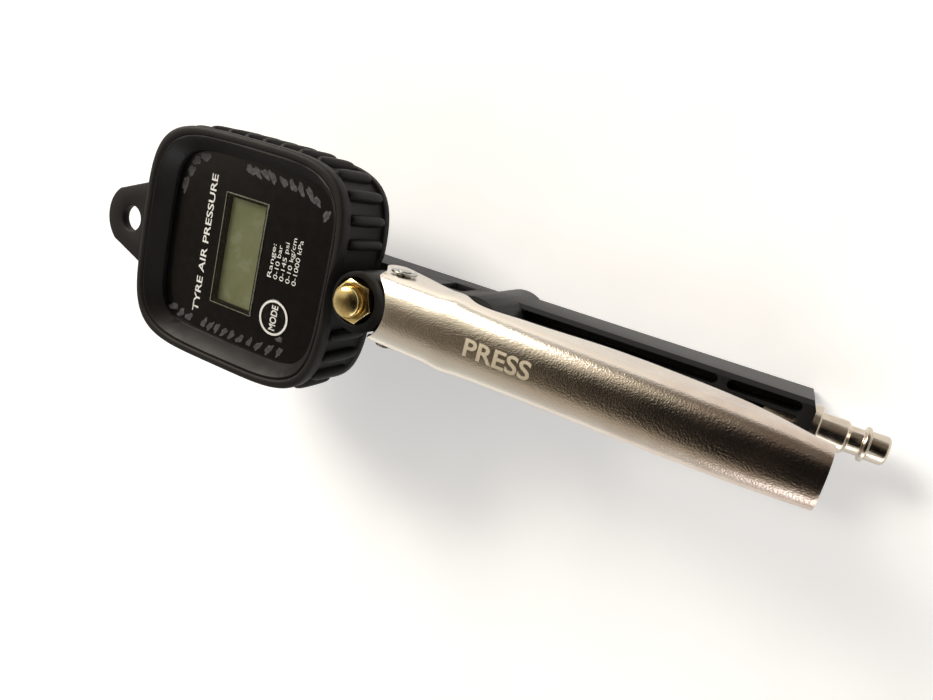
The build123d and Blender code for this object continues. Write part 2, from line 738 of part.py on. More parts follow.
with BuildPart() as front_case:
    add(square_plate(case_half_x, case_half_y, lip_corner, split_height, case_front_z))
    add(square_plate(case_half_x - case_wall, case_half_y - case_wall, lip_corner,
                     split_height, deck_top_z - deck), mode=Mode.SUBTRACT)
    # Bezel: a dish that slopes in from the rim to the recess
    with BuildSketch(Plane.XY.offset(bezel_foot_z)):
        with BuildLine():
            rounded_square(bezel_half_x, bezel_half_y, bezel_corner)
        make_face()
    with BuildSketch(Plane.XY.offset(case_front_z + 0.01)):
        with BuildLine():
            rounded_square(case_half_x - bezel_land, case_half_y - bezel_land, lip_corner)
        make_face()
    loft(mode=Mode.SUBTRACT)
    add(square_plate(bezel_half_x, bezel_half_y, bezel_corner, deck_top_z, bezel_foot_z + 0.1),
        mode=Mode.SUBTRACT)
    # Window and button openings in the deck
    with BuildSketch(Plane.XY.offset(deck_top_z)):
        with Locations((window_x, 0)):
            Rectangle(window_width - 3, window_length - 3)
        with Locations((mode_x, mode_offset_y)):
            Circle(mode_radius + 0.2)
    extrude(amount=-deck, mode=Mode.SUBTRACT)
    # Posts that take the screws
    with BuildSketch(Plane.XY.offset(deck_top_z - deck)):
        with Locations(*screw_spots):
            Circle(3.2)
    extrude(amount=-(deck_top_z - deck - split_height))
    with BuildSketch(Plane.XY.offset(split_height)):
        with Locations(*screw_spots):
            Circle(1.5)
    extrude(amount=7, mode=Mode.SUBTRACT)
finish(front_case, "front_case")

battery_xs = (gauge_x + 21.5, gauge_x + 33.0)
battery_z = case_back_z + 7.6
with BuildPart() as back_case:
    add(square_plate(case_half_x, case_half_y, lip_corner, case_back_z, split_height - 0.1))
    add(square_plate(case_half_x - case_wall, case_half_y - case_wall, lip_corner,
                     case_back_z + 2.4, split_height), mode=Mode.SUBTRACT)
    with BuildSketch(Plane.XY.offset(case_back_z)):
        with Locations(*screw_spots):
            Circle(3.2)
    extrude(amount=split_height - 0.1 - case_back_z)
    with BuildSketch(Plane.XY.offset(case_back_z)):
        with Locations(*screw_spots):
            Circle(1.7)
    extrude(amount=20, mode=Mode.SUBTRACT)
    with BuildSketch(Plane.XY.offset(case_back_z)):
        with Locations(*screw_spots):
            Circle(2.9)
    extrude(amount=2.6, mode=Mode.SUBTRACT)
    with BuildSketch(Plane.XY.offset(case_back_z)):
        with Locations((gauge_x, 0)):
            Circle(stem_thread_radius + 0.1)
        with Locations(((battery_xs[0] + battery_xs[1]) / 2, 0)):
            Rectangle(25.0, 52.0)
    extrude(amount=2.4, mode=Mode.SUBTRACT)
finish(back_case, "back_case")

with BuildPart() as battery_door:
    with BuildSketch(Plane.XY.offset(case_back_z)):
        with Locations(((battery_xs[0] + battery_xs[1]) / 2, 0)):
            RectangleRounded(24.6, 51.6, 1.0)
    extrude(amount=2.0)
finish(battery_door, "battery_door")

with BuildPart() as case_screws:
    # Four pan-head screws, driven from the back
    with BuildSketch(Plane.XY.offset(case_back_z + 0.5)):
        with Locations(*screw_spots):
            Circle(2.7)
    extrude(amount=2.0)
    with BuildSketch(Plane.XY.offset(case_back_z + 2.4)):
        with Locations(*screw_spots):
            Circle(1.4)
    extrude(amount=split_height + 5 - case_back_z - 2.4)
finish(case_screws, "case_screws")

with BuildPart() as batteries:
    for cell_x in battery_xs:
        with BuildSketch(Plane.XZ.offset(-22.0)):
            with Locations((cell_x, battery_z)):
                Circle(5.2)
        extrude(amount=43.3)
        with BuildSketch(Plane.XZ.offset(-22.0)):
            with Locations((cell_x, battery_z)):
                Circle(1.9)
        extrude(amount=44.5)
finish(batteries, "batteries")

with BuildPart() as battery_contacts:
    for side_y in (-24.4, 23.6):
        with BuildSketch(Plane.XZ.offset(-side_y)):
            with Locations(((battery_xs[0] + battery_xs[1]) / 2, battery_z)):
                RectangleRounded(21.0, 8.0, 1.0)
        extrude(amount=-0.6)
finish(battery_contacts, "battery_contacts")

board_start_x = gauge_x - case_half_x + 17
board_end_x = battery_xs[0] - 5.7
with BuildPart() as circuit_board:
    with BuildSketch(Plane.XY.offset(board_top_z - board_thickness)):
        with Locations(((board_start_x + board_end_x) / 2, 0)):
            RectangleRounded(board_end_x - board_start_x, 2 * case_half_y - 12, 3)
    extrude(amount=board_thickness)
finish(circuit_board, "circuit_board")

with BuildPart() as pressure_sensor:
    # Metal can of the sensor, seated on the stem and soldered to the board
    sensor_low_z = case_back_z + 7.1
    with BuildSketch(Plane.XY.offset(sensor_low_z)):
        with Locations((gauge_x, 0)):
            Circle(6.0)
    extrude(amount=board_top_z - board_thickness - sensor_low_z)
finish(pressure_sensor, "pressure_sensor")

with BuildPart() as lcd_module:
    with BuildSketch(Plane.XY.offset(board_top_z)):
        with Locations((window_x, 0)):
            Rectangle(window_width + 3, window_length + 3)
    extrude(amount=4.1)
finish(lcd_module, "lcd_module")

with BuildPart() as mode_switch:
    with BuildSketch(Plane.XY.offset(board_top_z)):
        with Locations((mode_x, mode_offset_y)):
            Rectangle(6.0, 6.0)
    extrude(amount=3.0)
finish(mode_switch, "mode_switch")

with BuildPart() as mode_button:
    button_top_z = film_top_z + 0.3
    with BuildSketch(Plane.XY.offset(deck_top_z - deck - 0.6)):
        with Locations((mode_x, mode_offset_y)):
            Circle(mode_radius)
    extrude(amount=button_top_z - deck_top_z + deck + 0.6)
    fillet(mode_button.edges().filter_by(GeomType.CIRCLE).group_by(Axis.Z)[-1], 0.25)
finish(mode_button, "mode_button")

with BuildPart() as face_film:
    add(square_plate(bezel_half_x - 0.15, bezel_half_y - 0.15, bezel_corner, deck_top_z,
                     film_top_z))
    with BuildSketch(Plane.XY.offset(film_top_z)):
        with Locations((window_x, 0)):
            RectangleRounded(window_width + 0.2, window_length + 0.2, 0.6)
        with Locations((mode_x, mode_offset_y)):
            Circle(mode_radius + 0.2)
    extrude(amount=-film_thickness, mode=Mode.SUBTRACT)
finish(face_film, "face_film")

with BuildPart() as window_lens:
    with BuildSketch(Plane.XY.offset(deck_top_z + 0.02)):
        with Locations((window_x, 0)):
            RectangleRounded(window_width, window_length, 0.5)
    extrude(amount=film_thickness + window_stand)
    chamfer(window_lens.edges().group_by(Axis.Z)[-1], 0.3)
finish(window_lens, "window_lens")

# ---------------------------------------------------------------- rubber boot
wall_half_x = lip_half_x - boot_wall_inset
wall_half_y = lip_half_y - boot_wall_inset


def around_wall(step_length):
    """Places along the wall's outline, evenly spaced, each with its outward angle."""
    spots = []
    fine = 720
    walked = 0.0
    last = None
    for step in range(fine + 1):
        turn = 2 * pi * (step + 0.5) / fine
        x = wall_half_x * abs(cos(turn)) ** (2 / lip_corner) * (1 if cos(turn) > 0 else -1)
        y = wall_half_y * abs(sin(turn)) ** (2 / lip_corner) * (1 if sin(turn) > 0 else -1)
        if last:
            walked += hypot(x - last[0], y - last[1])
            if walked >= step_length:
                slope_x = abs(x / wall_half_x) ** (lip_corner - 1) / wall_half_x * (1 if x > 0 else -1)
                slope_y = abs(y / wall_half_y) ** (lip_corner - 1) / wall_half_y * (1 if y > 0 else -1)
                spots.append((gauge_x + x, y, degrees(atan2(slope_y, slope_x))))
                walked = 0.0
        last = (x, y)
    return spots


with BuildPart() as boot:
    lip_low_z = lip_height - 5.0
    add(square_plate(wall_half_x, wall_half_y, lip_corner, boot_back_height, lip_height - 1))
    add(square_plate(lip_half_x + 0.2, lip_half_y + 0.2, lip_corner, boot_back_height,
                     boot_back_height + boot_band_height))
    add(square_plate(lip_half_x, lip_half_y, lip_corner, lip_low_z, lip_height))
    # Grip ribs, each a round-ended bar that runs from the back band to the lip
    rib_low_z = boot_back_height + boot_band_height + 0.8
    rib_high_z = lip_low_z - 0.4
    for spot_x, spot_y, facing in around_wall(grip_rib_pitch):
        if abs(spot_x - gauge_x - wall_half_x) < 4 and abs(spot_y) < tab_root_half + 2:
            continue
        if abs(spot_x - gauge_x + wall_half_x) < 4 and abs(spot_y) < boss_radius + 2:
            continue
        rib_plane = Plane(origin=(spot_x, spot_y, (rib_low_z + rib_high_z) / 2),
                          x_dir=(0, 0, 1), z_dir=(cos(facing * pi / 180), sin(facing * pi / 180), 0))
        with BuildSketch(rib_plane.offset(-0.8)):
            SlotOverall(rib_high_z - rib_low_z, grip_rib_width)
        extrude(amount=grip_rib_height + 0.8)
    # Hang tab behind the lip
    with BuildSketch(Plane.XY.offset(lip_height - tab_drop - tab_thickness)):
        with BuildLine():
            root_x = gauge_x + lip_half_x - 4
            shoulder = (hang_x + tab_radius * 0.62, tab_radius * 0.785)
            Polyline((root_x, -tab_root_half - 1), (root_x, tab_root_half + 1), shoulder)
            ThreePointArc(shoulder, (hang_x + tab_radius, 0), (shoulder[0], -shoulder[1]))
            Line((shoulder[0], -shoulder[1]), (root_x, -tab_root_half - 1))
        make_face()
    extrude(amount=tab_thickness)
    # Cavity for the case, and the opening in front
    add(square_plate(case_half_x + 0.1, case_half_y + 0.1, lip_corner,
                     boot_back_height + boot_floor, lip_height + 1), mode=Mode.SUBTRACT)
    # Shallow hollow beside the bleed valve's boss
    with BuildSketch(Plane.XY.offset(boot_back_height - 1)):
        with Locations((gauge_x - lip_half_x + dip_depth - dip_radius, 0)):
            Circle(dip_radius)
    extrude(amount=40, mode=Mode.SUBTRACT)
    with BuildSketch(Plane.XY.offset(boot_back_height)):
        with Locations((gauge_x, 0)):
            Circle(stem_hex / 2 + 2.5)
        with Locations((hang_x, 0)):
            Circle(hang_radius)
    extrude(amount=40, mode=Mode.SUBTRACT)
finish(boot, "boot")
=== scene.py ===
"""Looks of a hand-held digital tyre inflator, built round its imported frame."""
import json

import bmesh
import bpy
import numpy as np
from mathutils import Matrix, Vector


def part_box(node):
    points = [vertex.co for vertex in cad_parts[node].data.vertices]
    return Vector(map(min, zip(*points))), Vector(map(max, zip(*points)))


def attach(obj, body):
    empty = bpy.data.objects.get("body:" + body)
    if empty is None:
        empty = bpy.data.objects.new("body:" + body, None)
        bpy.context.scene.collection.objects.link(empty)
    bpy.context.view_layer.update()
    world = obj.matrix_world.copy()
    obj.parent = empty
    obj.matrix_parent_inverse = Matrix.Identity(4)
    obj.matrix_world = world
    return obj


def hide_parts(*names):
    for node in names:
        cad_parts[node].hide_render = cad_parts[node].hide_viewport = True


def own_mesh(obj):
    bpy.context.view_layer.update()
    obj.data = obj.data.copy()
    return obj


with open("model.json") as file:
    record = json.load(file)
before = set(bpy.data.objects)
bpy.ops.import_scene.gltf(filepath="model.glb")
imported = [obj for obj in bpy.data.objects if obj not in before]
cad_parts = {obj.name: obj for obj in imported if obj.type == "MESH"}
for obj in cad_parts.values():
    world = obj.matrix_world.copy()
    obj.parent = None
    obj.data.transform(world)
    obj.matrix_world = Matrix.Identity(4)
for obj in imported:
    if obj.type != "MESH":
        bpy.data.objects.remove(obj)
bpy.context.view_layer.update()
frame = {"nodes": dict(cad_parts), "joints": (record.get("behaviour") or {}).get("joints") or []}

# ---- Handle ---------------------------------------------------------------------------
# One moulding of black glass-filled nylon: bar, valve barrel, tower and neck.  Its edges
# leave the mould with a small radius, and the tool's fine spark texture makes it satin.


def linear(shade):
    """sRGB hex text to linear RGBA, by the sRGB transfer curve."""
    channels = np.array([int(shade[i:i + 2], 16) / 255 for i in (1, 3, 5)])
    low = channels / 12.92
    high = ((channels + 0.055) / 1.055) ** 2.4
    return (*np.where(channels <= 0.04045, low, high), 1.0)


def add_node(tree, kind, inputs=(), **settings):
    """Adds one node; an input takes a number, a colour, or another node's output to link."""
    node = tree.nodes.new(kind)
    for name, value in settings.items():
        setattr(node, name, value)
    for name, value in dict(inputs).items():
        if isinstance(value, bpy.types.NodeSocket):
            tree.links.new(value, node.inputs[name])
        else:
            node.inputs[name].default_value = value
    return node


def new_finish(name, **values):
    """A material with one Principled shader; returns it, its tree, shader and Object coordinates."""
    finish = bpy.data.materials.new(name)
    finish.use_nodes = True
    tree = finish.node_tree
    shader = tree.nodes["Principled BSDF"]
    for socket, value in values.items():
        shader.inputs[socket.replace("_", " ")].default_value = value
    coords = add_node(tree, "ShaderNodeTexCoord").outputs["Object"]
    return finish, tree, shader, coords


def mottle(tree, shader, coords, grain_mm, shades, roughness, bump_mm, contrast=(0.35, 0.65)):
    """Noise at a real grain size: mixes two shades, spreads the roughness and raises a bump."""
    grain = add_node(tree, "ShaderNodeTexNoise",
                     {"Vector": coords, "Scale": 1000 / grain_mm, "Detail": 4.0, "Roughness": 0.6})
    ramp = add_node(tree, "ShaderNodeMapRange",
                    {"Value": grain.outputs["Fac"], "From Min": contrast[0], "From Max": contrast[1]})
    mix = add_node(tree, "ShaderNodeMix", {"Factor": ramp.outputs["Result"], "A": linear(shades[0]),
                                           "B": linear(shades[1])}, data_type="RGBA")
    spread = add_node(tree, "ShaderNodeMapRange",
                      {"Value": ramp.outputs["Result"], "To Min": roughness[0], "To Max": roughness[1]})
    bump = add_node(tree, "ShaderNodeBump",
                    {"Height": grain.outputs["Fac"], "Distance": bump_mm / 1000, "Strength": 1.0})
    tree.links.new(mix.outputs["Result"], shader.inputs["Base Color"])
    tree.links.new(spread.outputs["Result"], shader.inputs["Roughness"])
    tree.links.new(bump.outputs["Normal"], shader.inputs["Normal"])
    return mix


def edged_copy(node, name, finish, edge_mm, body, steps=2):
    """Welded copy of a CAD node with its sharp edges rounded, standing for that node."""
    mesh = frame["nodes"][node].data.copy()
    mesh.name = name
    work = bmesh.new()
    work.from_mesh(mesh)
    bmesh.ops.remove_doubles(work, verts=work.verts, dist=1e-6)
    bmesh.ops.dissolve_limit(work, angle_limit=0.02, verts=work.verts, edges=work.edges)
    work.to_mesh(mesh)
    work.free()
    mesh.materials.clear()
    mesh.materials.append(finish)
    mesh.shade_smooth()
    piece = bpy.data.objects.new(name, mesh)
    bpy.context.collection.objects.link(piece)
    rounding = piece.modifiers.new("edge radius", "BEVEL")
    rounding.width = edge_mm / 1000
    rounding.segments = steps
    rounding.limit_method = "ANGLE"
    rounding.angle_limit = 0.6
    rounding.use_clamp_overlap = True
    rounding.harden_normals = True
    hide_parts(node)
    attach(piece, body)
    return piece


moulded_nylon, tree, shader, coords = new_finish("moulded black nylon", Specular_IOR_Level=0.3)
mottle(tree, shader, coords, 0.35, ("#060607", "#0d0d0e"), (0.4, 0.55), 0.035)

handle = edged_copy("handle_body", "handle_moulding", moulded_nylon, 0.45, "tool")

# ---- Inlet ----------------------------------------------------------------------------
# Turned steel plug and bush, bright nickel plated.  The tool's feed leaves fine rings round
# the axis, and the plating rounds every corner a little.
turned_nickel, tree, shader, coords = new_finish("turned nickel plate", Metallic=1.0)
feed = add_node(tree, "ShaderNodeTexWave", {"Vector": coords, "Scale": 900.0, "Distortion": 0.6,
                                            "Detail": 1.0, "Detail Scale": 3.0}, bands_direction="X")
tarnish = add_node(tree, "ShaderNodeTexNoise", {"Vector": coords, "Scale": 260.0, "Detail": 3.0})
tone = add_node(tree, "ShaderNodeMix", {"Factor": tarnish.outputs["Fac"], "A": linear("#b9ab98"),
                                        "B": linear("#ded6ca")}, data_type="RGBA")
dull = add_node(tree, "ShaderNodeMapRange", {"Value": tarnish.outputs["Fac"], "To Min": 0.12,
                                             "To Max": 0.3})
rings = add_node(tree, "ShaderNodeBump", {"Height": feed.outputs["Fac"], "Distance": 0.000012})
tree.links.new(tone.outputs["Result"], shader.inputs["Base Color"])
tree.links.new(dull.outputs["Result"], shader.inputs["Roughness"])
tree.links.new(rings.outputs["Normal"], shader.inputs["Normal"])

for node, name, edge in (("inlet_plug", "coupling_plug", 0.25), ("inlet_bush", "plug_bush", 0.35)):
    edged_copy(node, name, turned_nickel, edge, "tool", 3)

# Sintered bronze filter and drawn tube inside the handle
sintered_bronze, tree, shader, coords = new_finish("sintered bronze", Metallic=1.0)
mottle(tree, shader, coords, 0.25, ("#5a4526", "#9a7c4a"), (0.5, 0.7), 0.06)
drawn_tube, tree, shader, coords = new_finish("drawn aluminium", Metallic=1.0)
mottle(tree, shader, coords, 0.8, ("#9c9da0", "#b8b9bc"), (0.28, 0.4), 0.004)


def dress(node, finish):
    """Gives a carried-over CAD node its finish."""
    mesh = frame["nodes"][node].data
    for index in range(len(mesh.materials)):
        mesh.materials[index] = finish
    if not mesh.materials:
        mesh.materials.append(finish)


dress("inlet_filter", sintered_bronze)
dress("air_tube", drawn_tube)

# ---- Brass valve parts ------------------------------------------------------------------
# Free-machining brass, turned and left bright: hexagon, bleed button, valve cap and stem.
# Handling leaves faint darker patches, and the faces keep fine turning rings.
bright_brass, tree, shader, coords = new_finish("bright turned brass", Metallic=1.0)
stain = add_node(tree, "ShaderNodeTexNoise", {"Vector": coords, "Scale": 420.0, "Detail": 4.0})
tone = add_node(tree, "ShaderNodeMix", {"Factor": stain.outputs["Fac"], "A": linear("#c9a55a"),
                                        "B": linear("#f3e2ab")}, data_type="RGBA")
dull = add_node(tree, "ShaderNodeMapRange", {"Value": stain.outputs["Fac"], "To Min": 0.13,
                                             "To Max": 0.32})
low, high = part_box("bleed_button")
centre = [(a + b) / 2 for a, b in zip(low, high)]
about_axis = add_node(tree, "ShaderNodeMapping", {"Vector": coords,
                                                  "Location": (-centre[0], -centre[1], 0.0)})
turning = add_node(tree, "ShaderNodeTexWave", {"Vector": about_axis.outputs["Vector"],
                                               "Scale": 700.0, "Distortion": 0.4},
                   wave_type="RINGS", rings_direction="Z")
rings = add_node(tree, "ShaderNodeBump", {"Height": turning.outputs["Fac"], "Distance": 0.00001})
tree.links.new(tone.outputs["Result"], shader.inputs["Base Color"])
tree.links.new(dull.outputs["Result"], shader.inputs["Roughness"])
tree.links.new(rings.outputs["Normal"], shader.inputs["Normal"])

for node, name, edge, body in (
        ("bleed_nut", "bleed_hexagon", 0.25, "tool"),
        ("bleed_button", "bleed_push_button", 0.3, "bleed_button"),
        ("valve_cap", "valve_end_cap", 0.25, "tool"),
        ("outlet_bush", "hose_outlet_bush", 0.3, "tool"),
        ("gauge_stem", "gauge_stem_nut", 0.3, "tool")):
    edged_copy(node, name, bright_brass, edge, body, 3)
for node in ("valve_stem", "valve_seat"):
    dress(node, bright_brass)

nitrile, tree, shader, coords = new_finish("nitrile rubber")
mottle(tree, shader, coords, 0.5, ("#141414", "#202020"), (0.55, 0.7), 0.02)
for node in ("valve_seal", "bleed_seal", "stem_washer"):
    dress(node, nitrile)

spring_wire, tree, shader, coords = new_finish("drawn spring wire", Metallic=1.0)
mottle(tree, shader, coords, 0.4, ("#6f6f72", "#94949a"), (0.25, 0.4), 0.004)
dress("battery_contacts", spring_wire)

# Return springs, each with its fixed lower end: plain copies of the CAD coils with meshes of their own,
# not shortened as the stem or button goes down
for node, name, joint, travel in (("valve_spring", "valve_return_spring", "valve_slide", 0.0037),
                                  ("bleed_spring", "bleed_return_spring", "bleed_press", 0.002)):
    coil = edged_copy(node, name, spring_wire, 0.05, "tool", 1)
    coil.modifiers.clear()
    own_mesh(coil)

# ---- Pivot ------------------------------------------------------------------------------
# Zinc-plated steel pin with a round head on one side and an E-clip in a groove on the other.
zinc_plate, tree, shader, coords = new_finish("zinc-plated steel", Metallic=1.0)
mottle(tree, shader, coords, 0.6, ("#8f8f8c", "#c7c7c2"), (0.22, 0.38), 0.006)
for node, name in (("pivot_pin", "lever_pin"), ("pivot_clip", "lever_pin_clip")):
    edged_copy(node, name, zinc_plate, 0.18, "tool")
dress("case_screws", zinc_plate)

# ---- Lever --------------------------------------------------------------------------------
# Channel pressed from 1.4 mm steel and nickel plated.  The web is strongly crowned, the ears
# go down round the valve's tower, and the plating shows an orange-peel sparkle.
pivot = [1000 * v for v in next(j for j in frame["joints"] if j["name"] == "lever_pivot")["pos_m"]]
valve_x = 500 * (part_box("valve_stem")[0][0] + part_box("valve_stem")[1][0])
boss_x = 1000 * centre[0] - 1.6      # the boss stands a little behind the bleed button
cut_radius = 12.4                    # half-round cut-out in the web, round the boss
nose_x = boss_x - 5.2
tail_x = 1000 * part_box("lever")[0][0]
sheet = 1.4
crown_depth = 7.4


def smooth_through(x, knots):
    """Cubic Hermite curve through (x, value) knots, with slopes from the neighbouring knots."""
    xs, ys = np.array(knots, float).T
    slopes = np.gradient(ys, xs)
    i = np.clip(np.searchsorted(xs, x) - 1, 0, len(xs) - 2)
    h = xs[i + 1] - xs[i]
    t = np.clip((x - xs[i]) / h, 0, 1)
    return ((2 * t**3 - 3 * t**2 + 1) * ys[i] + (t**3 - 2 * t**2 + t) * h * slopes[i]
            + (3 * t**2 - 2 * t**3) * ys[i + 1] + (t**3 - t**2) * h * slopes[i + 1])


def lever_crown(x):
    """Height of the crown: a straight rise from the nose to the tail plus a parabolic bow."""
    share = (pivot[0] - x) / (pivot[0] - tail_x)
    return 66.7 + 10.2 * share + 4.8 * share * (1 - share)


def lever_half(x):
    """Half of the lever's width: narrow tail, waist, a bulge at the valve, parallel ears."""
    return smooth_through(x, [(tail_x, 9.2), (tail_x + 18, 10.3), (tail_x + 48, 11.05),
                              (valve_x - 22, 11.95), (valve_x - 6, 12.6), (valve_x, 13.15),
                              (valve_x + 7, 12.6), (valve_x + 14, 12.58), (boss_x + 13, 12.58)])


def lever_rim(x):
    """Height of the walls' lower rim along the lever."""
    return smooth_through(x, [
        (tail_x, lever_crown(tail_x) - 5.8), (tail_x + 16, lever_crown(tail_x + 16) - 14.1),
        (tail_x + 46, lever_crown(tail_x + 46) - 19.8), (tail_x + 66, lever_crown(tail_x + 66) - 19.4),
        (valve_x - 24, lever_crown(valve_x - 24) - 12.4),
        (valve_x - 5, lever_crown(valve_x - 5) - 8.8),
        (valve_x + 1.5, lever_crown(valve_x) - 13.4), (valve_x + 11, lever_crown(valve_x) - 18.0),
        (pivot[0] + 2, pivot[2] - 13.5), (pivot[0] + 8, pivot[2] - 16.4),
        (boss_x + 13, pivot[2] - 16.4)])


def grid_mesh(name, points, finish, wrap_u=False, wrap_v=False, merge_mm=0.002):
    """Quad mesh of an (n, m, 3) array of points in millimetres, joined round where asked."""
    n, m, _ = points.shape
    index = np.arange(n * m).reshape(n, m)
    if wrap_u:
        index = np.vstack([index, index[:1]])
    if wrap_v:
        index = np.hstack([index, index[:, :1]])
    quads = np.stack([index[:-1, :-1], index[1:, :-1], index[1:, 1:], index[:-1, 1:]], -1)
    mesh = bpy.data.meshes.new(name)
    mesh.from_pydata((points.reshape(-1, 3) / 1000).tolist(), [], quads.reshape(-1, 4).tolist())
    work = bmesh.new()
    work.from_mesh(mesh)
    bmesh.ops.remove_doubles(work, verts=work.verts, dist=merge_mm / 1000)
    bmesh.ops.recalc_face_normals(work, faces=work.faces)
    work.to_mesh(mesh)
    work.free()
    mesh.materials.append(finish)
    mesh.shade_smooth()
    piece = bpy.data.objects.new(name, mesh)
    bpy.context.collection.objects.link(piece)
    return piece


def lever_skin(along, across):
    """Outside of the lever: across runs rim, wall, crowned web, wall, rim; along runs tail to nose."""
    v = across[None, :]
    side = np.sign(v)
    wall = np.clip((np.abs(v) - 0.5) / 0.5, 0, 1)          # 0 at the fold, 1 at the rim
    turn = np.clip(np.abs(v) / 0.5, 0, 1) * np.pi / 2      # 0 on the crown, 90 degrees at the fold
    # where each line across ends: round the boss on the web, down the ear's front on the walls
    web_y = 12.6 * np.sin(turn) ** (2 / 2.5)
    cut = boss_x - np.sqrt(np.clip(cut_radius**2 - web_y**2, 0, None))
    front_web = np.minimum(cut, nose_x)
    front_wall = smooth_through(wall, [(0, nose_x), (0.25, nose_x + 3.0), (0.6, pivot[0] + 12.3),
                                       (0.85, pivot[0] + 12.0), (1.0, pivot[0] + 9.0)])
    front = np.where(wall > 0, front_wall, front_web)
    x = tail_x + along[:, None] * (front - tail_x)
    crown = lever_crown(x)
    half = lever_half(x)
    spring = crown - crown_depth
    y_web = half * np.sin(turn) ** (2 / 2.5)
    z_web = spring + crown_depth * np.cos(turn) ** (2 / 2.5)
    z = np.where(wall > 0, spring + wall * (np.minimum(lever_rim(x), spring - 0.2) - spring), z_web)
    return np.stack([x, side * y_web, z], -1)


def crowded(count, power=1.7):
    """Steps from 0 to 1, closer together towards 1."""
    return 1 - (1 - np.linspace(0, 1, count)) ** power


plated_lever, tree, shader, coords = new_finish("nickel-plated pressing", Metallic=1.0)
split = add_node(tree, "ShaderNodeSeparateXYZ", {"Vector": coords})
rearward = add_node(tree, "ShaderNodeMapRange",
                    {"Value": split.outputs["X"], "From Min": -0.02, "From Max": -0.135,
                     "To Min": 0.0, "To Max": 1.0}, interpolation_type="SMOOTHSTEP")
cloud = add_node(tree, "ShaderNodeTexNoise", {"Vector": coords, "Scale": 90.0, "Detail": 3.0})
tint = add_node(tree, "ShaderNodeMath", {0: rearward.outputs["Result"], 1: cloud.outputs["Fac"]},
                operation="MULTIPLY")
plate_tone = add_node(tree, "ShaderNodeMix", {"Factor": tint.outputs["Value"],
                                              "A": linear("#e2dacd"), "B": linear("#a5897c")},
                      data_type="RGBA")
# Orange peel: 0.6 mm pimples over faint 2.5 mm waves, drawn deeper than real so that they show
peel = add_node(tree, "ShaderNodeTexNoise", {"Vector": coords, "Scale": 1700.0, "Detail": 3.0})
waves = add_node(tree, "ShaderNodeTexNoise", {"Vector": coords, "Scale": 400.0, "Detail": 1.0})
wave_bump = add_node(tree, "ShaderNodeBump", {"Height": waves.outputs["Fac"], "Distance": 0.00002,
                                              "Strength": 1.0})
peel_bump = add_node(tree, "ShaderNodeBump", {"Height": peel.outputs["Fac"], "Distance": 0.00008,
                                              "Strength": 1.0, "Normal": wave_bump.outputs["Normal"]})
plate_dull = add_node(tree, "ShaderNodeMapRange", {"Value": cloud.outputs["Fac"], "To Min": 0.14,
                                                   "To Max": 0.26})
tree.links.new(plate_tone.outputs["Result"], shader.inputs["Base Color"])
tree.links.new(plate_dull.outputs["Result"], shader.inputs["Roughness"])
tree.links.new(peel_bump.outputs["Normal"], shader.inputs["Normal"])

across_lines = np.concatenate([np.linspace(-1, -0.5, 13)[:-1], np.linspace(-0.5, 0.5, 57),
                               np.linspace(0.5, 1, 13)[1:]])
lever = grid_mesh("lever_pressing", lever_skin(crowded(150, 1.3), across_lines), plated_lever)
wall = lever.modifiers.new("sheet thickness", "SOLIDIFY")
wall.thickness = sheet / 1000
wall.offset = -1.0
rims = lever.modifiers.new("deburred rims", "BEVEL")
rims.width = 0.00035
rims.segments = 2
rims.limit_method = "ANGLE"
rims.angle_limit = 0.9
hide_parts("lever")
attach(lever, "lever")

# Etched word: matt, pale, a hair above the plating and bent over the crown
etched, tree, shader, coords = new_finish("etched nickel", Metallic=1.0)
mottle(tree, shader, coords, 0.3, ("#cfc3ae", "#e6dcc8"), (0.5, 0.65), 0.004)


def flat_words(name, words, bold, steps):
    """Flat lettering as a mesh, one unit high, with its baseline on y = 0."""
    font = bpy.data.curves.new(name, "FONT")
    font.body = words
    font.offset = bold
    font.resolution_u = steps
    holder = bpy.data.objects.new(name + "_curve", font)
    bpy.context.collection.objects.link(holder)
    mesh = bpy.data.meshes.new_from_object(holder.evaluated_get(bpy.context.evaluated_depsgraph_get()))
    bpy.data.objects.remove(holder)
    return mesh


def place_words(name, mesh, lay, finish, body):
    """Moves each point by lay(share of the length, height in capitals) and makes the piece."""
    flat = np.empty(3 * len(mesh.vertices))
    mesh.vertices.foreach_get("co", flat)
    flat = flat.reshape(-1, 3)
    low, high = flat.min(0), flat.max(0)
    place = lay((flat[:, 0] - low[0]) / (high[0] - low[0]), flat[:, 1] / capital_height)
    mesh.vertices.foreach_set("co", (np.stack(place, -1) / 1000).ravel())
    mesh.name = name
    mesh.materials.clear()
    mesh.materials.append(finish)
    mesh.update()
    piece = bpy.data.objects.new(name, mesh)
    bpy.context.collection.objects.link(piece)
    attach(piece, body)


def etched_word(words, x_start, y_base, cap_mm, length_mm):
    """Lettering that reads towards the tail, laid on |y/h|^2.5 + (z/d)^2.5 = 1."""
    mesh = flat_words("lever_word", words, 0.02, 5)
    work = bmesh.new()
    work.from_mesh(mesh)
    bmesh.ops.triangulate(work, faces=work.faces)
    for _ in range(2):
        bmesh.ops.subdivide_edges(work, edges=work.edges, cuts=1, use_grid_fill=True)
    work.to_mesh(mesh)
    work.free()

    def lay(share, up):
        x = x_start - share * length_mm
        y = y_base - up * cap_mm
        lift = np.clip(1 - (np.abs(y) / lever_half(x)) ** 2.5, 0, None) ** 0.4
        return x, y, lever_crown(x) - crown_depth * (1 - lift) + 0.05

    place_words("lever_word", mesh, lay, etched, "lever")


capital_height = 0.69                # of the built-in font, as a share of its size
etched_word("PRESS", -24.0, 3.0, 5.6, 24.0)

